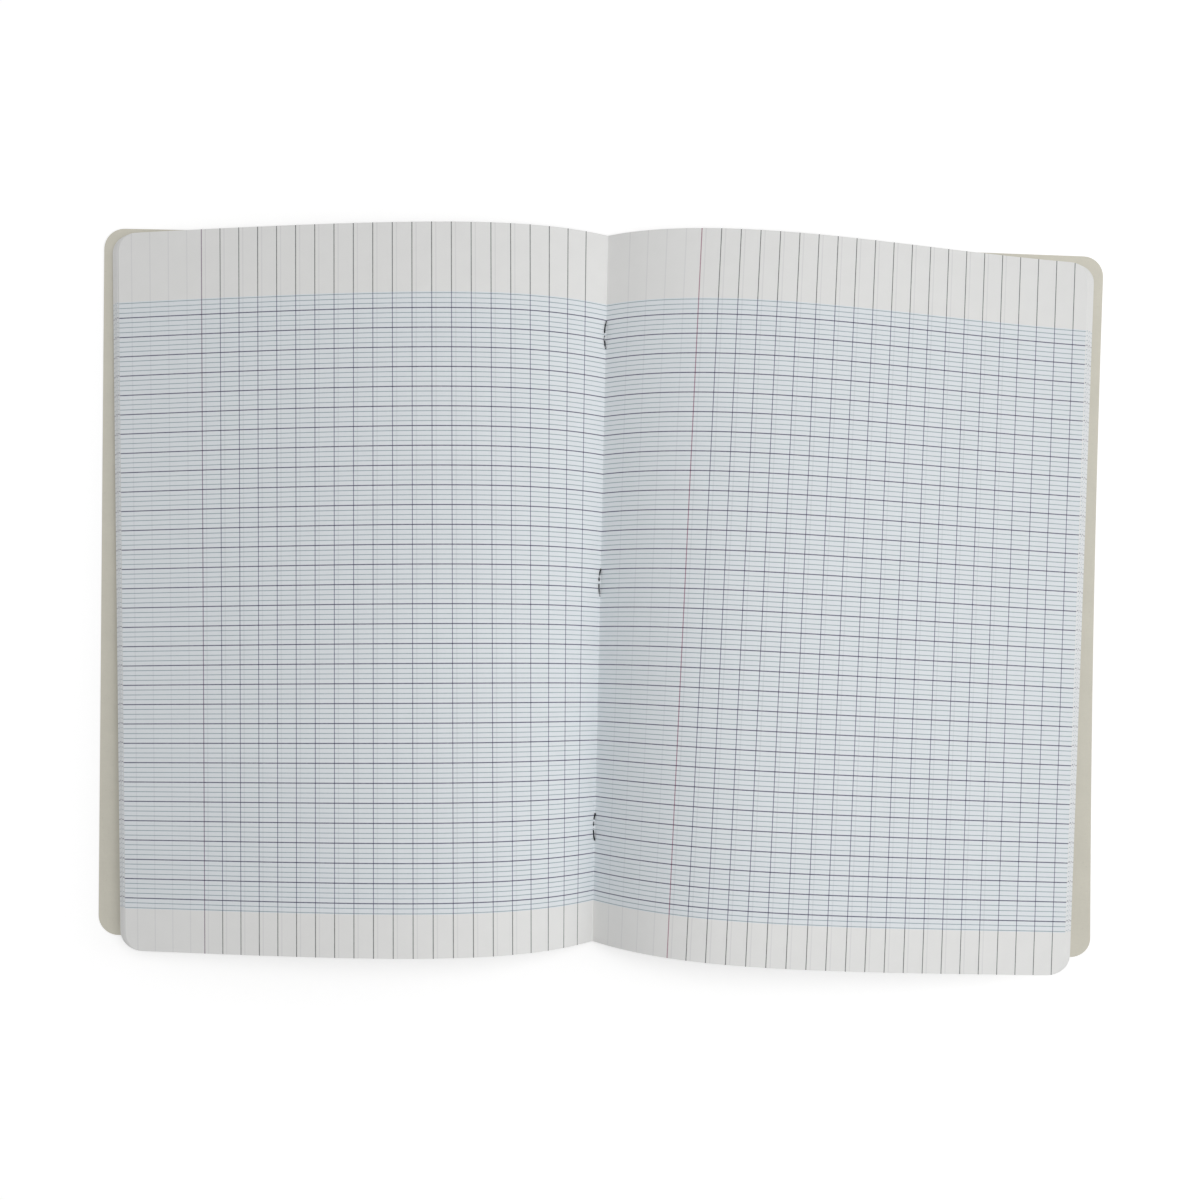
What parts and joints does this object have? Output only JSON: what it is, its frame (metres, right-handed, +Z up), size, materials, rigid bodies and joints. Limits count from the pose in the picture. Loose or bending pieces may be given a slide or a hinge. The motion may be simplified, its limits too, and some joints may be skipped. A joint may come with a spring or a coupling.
{
  "type": "open stapled exercise book",
  "caption": "Stapled exercise book lying open in the middle, its ruled leaves arched over a flat card cover whose two halves hinge at the spine.",
  "frame": {"origin": "on the table under the fold, at the middle of the open book's outline", "axes": "+X across the spread towards the right-hand page, +Y up the page towards its head, +Z up from the table"},
  "size_m": [0.42, 0.3024, 0.0394],
  "materials": {
    "leaf_paper": "uncoated ruled writing paper",
    "cover_card": "uncoated grey-beige card",
    "staple_wire": "plain steel wire"
  },
  "bodies": {
    "leaves": {"page_block": "leaf_paper", "cover_spine": "cover_card", "staple_head": "staple_wire", "staple_middle": "staple_wire", "staple_tail": "staple_wire"},
    "front_cover": {"front_cover": "cover_card"},
    "back_cover": {"back_cover": "cover_card"}
  },
  "joints": [
    {"name": "front_cover_hinge", "type": "hinge", "parent": "leaves", "child": "front_cover", "pos_m": [-0.0061, 0, 0], "axis": [0, 1, 0], "range_deg": [-90, 0]},
    {"name": "back_cover_hinge", "type": "hinge", "parent": "leaves", "child": "back_cover", "pos_m": [0.0061, 0, 0], "axis": [0, -1, 0], "range_deg": [-90, 0]}
  ]
}
